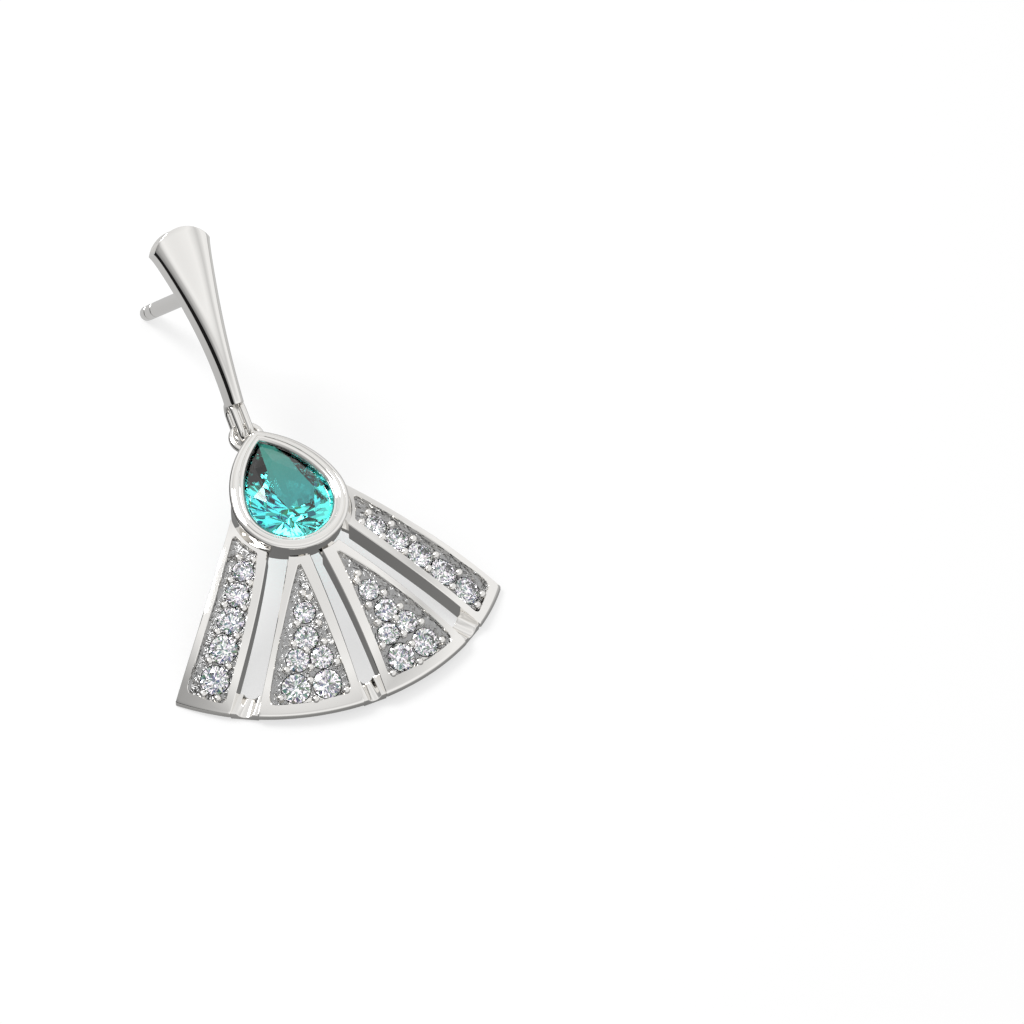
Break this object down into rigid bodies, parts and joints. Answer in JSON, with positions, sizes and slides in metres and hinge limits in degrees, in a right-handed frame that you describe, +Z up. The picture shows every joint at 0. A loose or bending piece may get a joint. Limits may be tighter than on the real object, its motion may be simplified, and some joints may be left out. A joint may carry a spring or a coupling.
{
  "type": "drop earring",
  "caption": "Drop earring with a flared stud bar and ear post, a pear-cut stone in a cup and a pierced fan set with small round stones.",
  "frame": {"origin": "on the resting plane, below the middle of the earring's bounding box as it lies", "axes": "+Z up from the resting plane, +Y from the fan towards the stud's post, +X across the fan to the wearer's left of the middle plane"},
  "size_m": [0.0198, 0.0322, 0.0126],
  "materials": {
    "white_metal": "mirror-polished white metal",
    "teal_stone": "faceted and polished",
    "clear_stone": "faceted and polished"
  },
  "bodies": {
    "root": {"drop_frame": "white_metal", "stud": "white_metal", "pear_stone": "teal_stone", "outer_stone_left_1": "clear_stone", "outer_stone_left_2": "clear_stone", "outer_stone_left_3": "clear_stone", "outer_stone_left_4": "clear_stone", "outer_stone_left_5": "clear_stone", "outer_stone_right_1": "clear_stone", "outer_stone_right_2": "clear_stone", "outer_stone_right_3": "clear_stone", "outer_stone_right_4": "clear_stone", "outer_stone_right_5": "clear_stone", "inner_stone_left_1": "clear_stone", "inner_stone_left_2": "clear_stone", "inner_stone_left_3": "clear_stone", "inner_stone_left_4": "clear_stone", "inner_stone_left_5": "clear_stone", "inner_stone_left_6": "clear_stone", "inner_stone_right_1": "clear_stone", "inner_stone_right_2": "clear_stone", "inner_stone_right_3": "clear_stone", "inner_stone_right_4": "clear_stone", "inner_stone_right_5": "clear_stone", "inner_stone_right_6": "clear_stone"}
  },
  "joints": []
}
